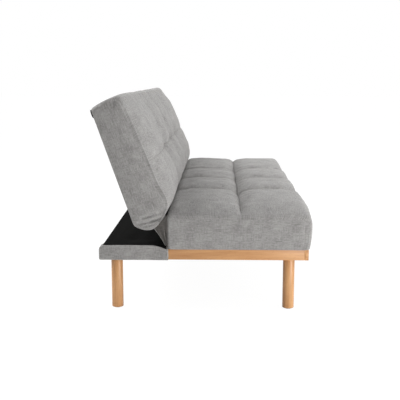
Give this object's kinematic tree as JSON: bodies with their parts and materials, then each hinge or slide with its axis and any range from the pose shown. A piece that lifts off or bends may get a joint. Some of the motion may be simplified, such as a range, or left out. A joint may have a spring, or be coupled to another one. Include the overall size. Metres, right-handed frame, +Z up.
{
  "type": "click clack sofa bed",
  "caption": "Armless fabric sofa bed whose stitched backrest folds down level with the seat on two ratchet hinges, on a wooden frame with round legs.",
  "frame": {"origin": "on the floor, under the middle of the sofa's outline with the backrest upright", "axes": "+X along the sofa's length to the right end as seen by someone facing the front, front faces -Y, +Z up"},
  "size_m": [1.8, 0.8538, 0.8485],
  "materials": {
    "cloth": "grey mottled linen-look weave",
    "rail_wood": "clear-lacquered light beech",
    "leg_wood": "clear-lacquered light beech, turned",
    "frame_wood": "sawn softwood",
    "black_lining": "thin black non-woven cloth",
    "hinge_steel": "zinc-plated pressed steel",
    "spring_steel": "oiled dark spring steel",
    "glide_felt": "pressed felt"
  },
  "bodies": {
    "base": {"corner_block_front_left": "frame_wood", "corner_block_front_right": "frame_wood", "corner_block_rear_left": "frame_wood", "corner_block_rear_right": "frame_wood", "cross_rail": "frame_wood", "front_rail": "rail_wood", "gap_strip": "cloth", "hinge_pin_left": "hinge_steel", "hinge_pin_right": "hinge_steel", "hinge_plate_left": "hinge_steel", "hinge_plate_right": "hinge_steel", "leg_bolt_front_left": "hinge_steel", "leg_bolt_front_right": "hinge_steel", "leg_bolt_rear_left": "hinge_steel", "leg_bolt_rear_right": "hinge_steel", "leg_front_left": "leg_wood", "leg_front_right": "leg_wood", "leg_glide_front_left": "glide_felt", "leg_glide_front_right": "glide_felt", "leg_glide_rear_left": "glide_felt", "leg_glide_rear_right": "glide_felt", "leg_rear_left": "leg_wood", "leg_rear_right": "leg_wood", "pawl_spring_left": "spring_steel", "pawl_spring_right": "spring_steel", "rear_arm_cover_left": "cloth", "rear_arm_cover_right": "cloth", "rear_arm_left": "frame_wood", "rear_arm_right": "frame_wood", "rear_beam": "frame_wood", "rear_beam_cover": "cloth", "rear_bearer": "frame_wood", "rear_lining": "black_lining", "seat_bearer_left": "frame_wood", "seat_bearer_right": "frame_wood", "seat_cushion": "cloth", "seat_dust_cover": "black_lining", "seat_frame_front": "frame_wood", "seat_frame_left": "frame_wood", "seat_frame_rear": "frame_wood", "seat_frame_right": "frame_wood", "seat_spring_1": "spring_steel", "seat_spring_2": "spring_steel", "seat_spring_3": "spring_steel", "seat_spring_4": "spring_steel", "side_rail_left": "rail_wood", "side_rail_right": "rail_wood"},
    "backrest": {"back_cushion": "cloth", "back_frame_bottom": "frame_wood", "back_frame_left": "frame_wood", "back_frame_right": "frame_wood", "back_frame_top": "frame_wood", "back_rear_panel": "cloth", "back_spring_1": "spring_steel", "back_spring_2": "spring_steel", "back_spring_3": "spring_steel", "hinge_arm_left": "hinge_steel", "hinge_arm_right": "hinge_steel"},
    "pawl_left": {"pawl_left": "hinge_steel"},
    "pawl_right": {"pawl_right": "hinge_steel"}
  },
  "joints": [
    {"name": "back_recline", "type": "hinge", "parent": "base", "child": "backrest", "pos_m": [0, 0.17592, 0.3583], "axis": [-1, 0, 0], "range_deg": [-4, 70.7], "deforming": ["gap_strip"]},
    {"name": "pawl_left_lift", "type": "hinge", "parent": "base", "child": "pawl_left", "pos_m": [-0.8633, 0.13527, 0.33289], "axis": [-1, 0, 0], "range_deg": [0, 10]},
    {"name": "pawl_right_lift", "type": "hinge", "parent": "base", "child": "pawl_right", "pos_m": [0.8633, 0.13527, 0.33289], "axis": [-1, 0, 0], "range_deg": [0, 10]}
  ]
}
